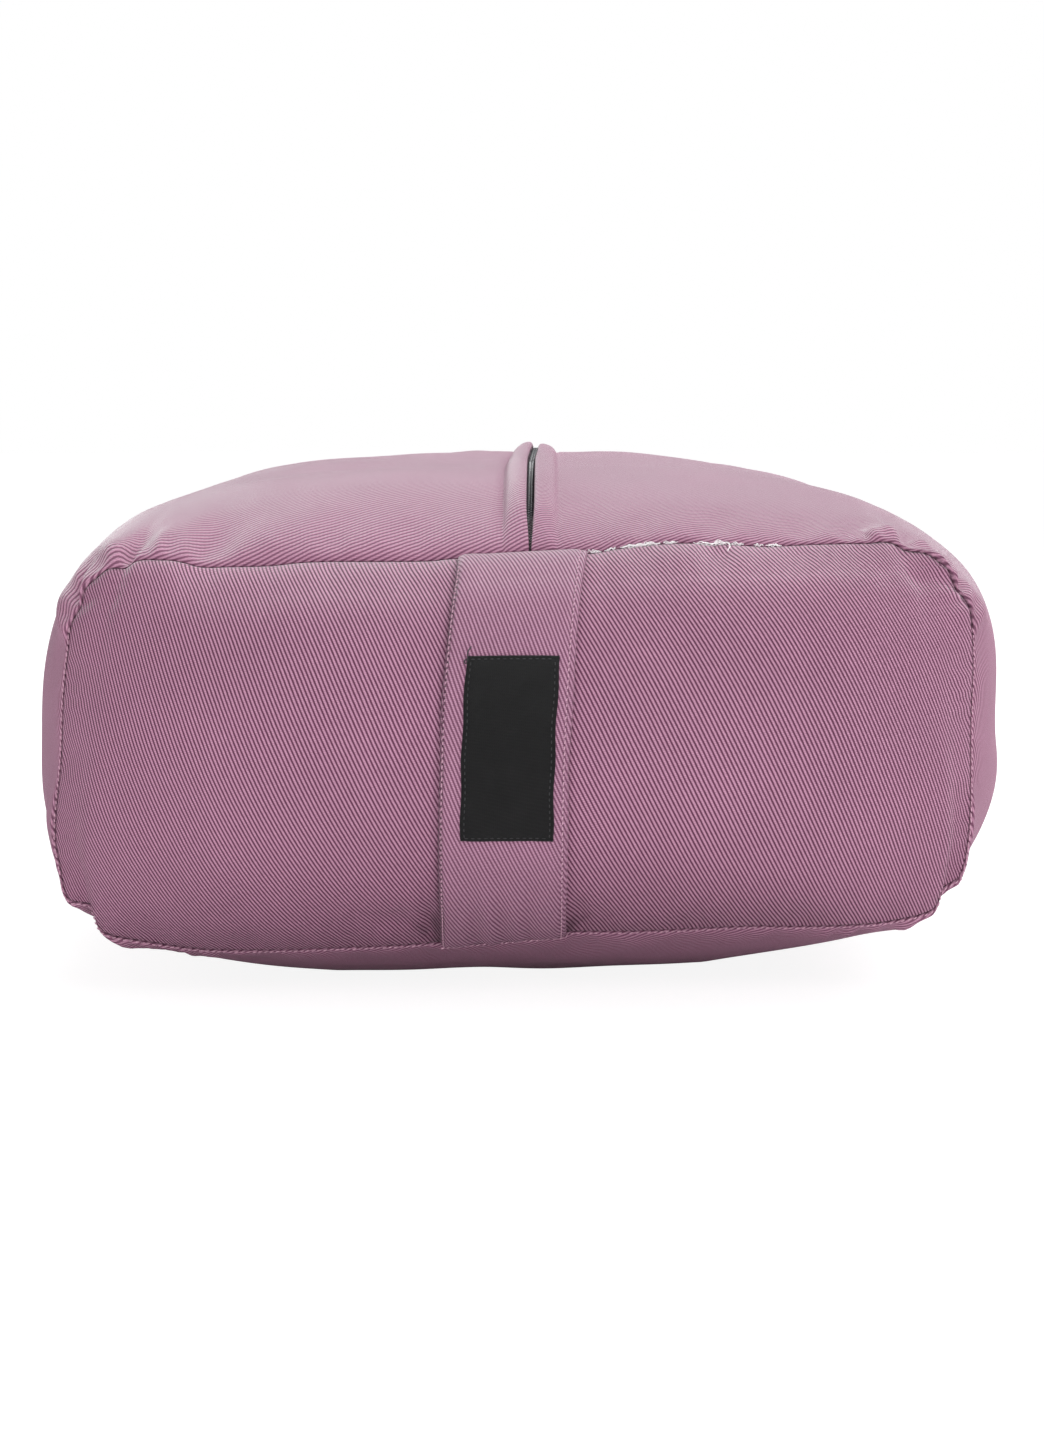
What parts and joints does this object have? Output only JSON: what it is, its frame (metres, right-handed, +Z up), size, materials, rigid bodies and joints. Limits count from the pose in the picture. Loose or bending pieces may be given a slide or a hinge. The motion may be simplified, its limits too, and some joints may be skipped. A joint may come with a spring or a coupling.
{
  "type": "yoga bolster",
  "caption": "Rectangular filled yoga bolster in twill, with swelling sides and ends, a zip between raised folds along the top, and a strap handle with a plain woven label over one end.",
  "frame": {"origin": "on the floor under the middle of the bolster, as it lies on its base", "axes": "+Y along the length, from the end with the strap handle towards the plain end; +X across the width; +Z up, towards the zip"},
  "size_m": [0.306, 0.6169, 0.1638],
  "materials": {
    "twill": "matte cotton twill with fine diagonal ribs",
    "strap_twill": "the same twill folded to a flat tube and stitched along both edges",
    "label_satin": "black woven satin with a faint sheen",
    "zip_nylon": "dark nylon coil"
  },
  "bodies": {
    "root": {"cushion": "twill", "end_panel_front": "twill", "end_panel_back": "twill", "handle_strap": "strap_twill", "label": "label_satin", "zip": "zip_nylon"}
  },
  "joints": []
}
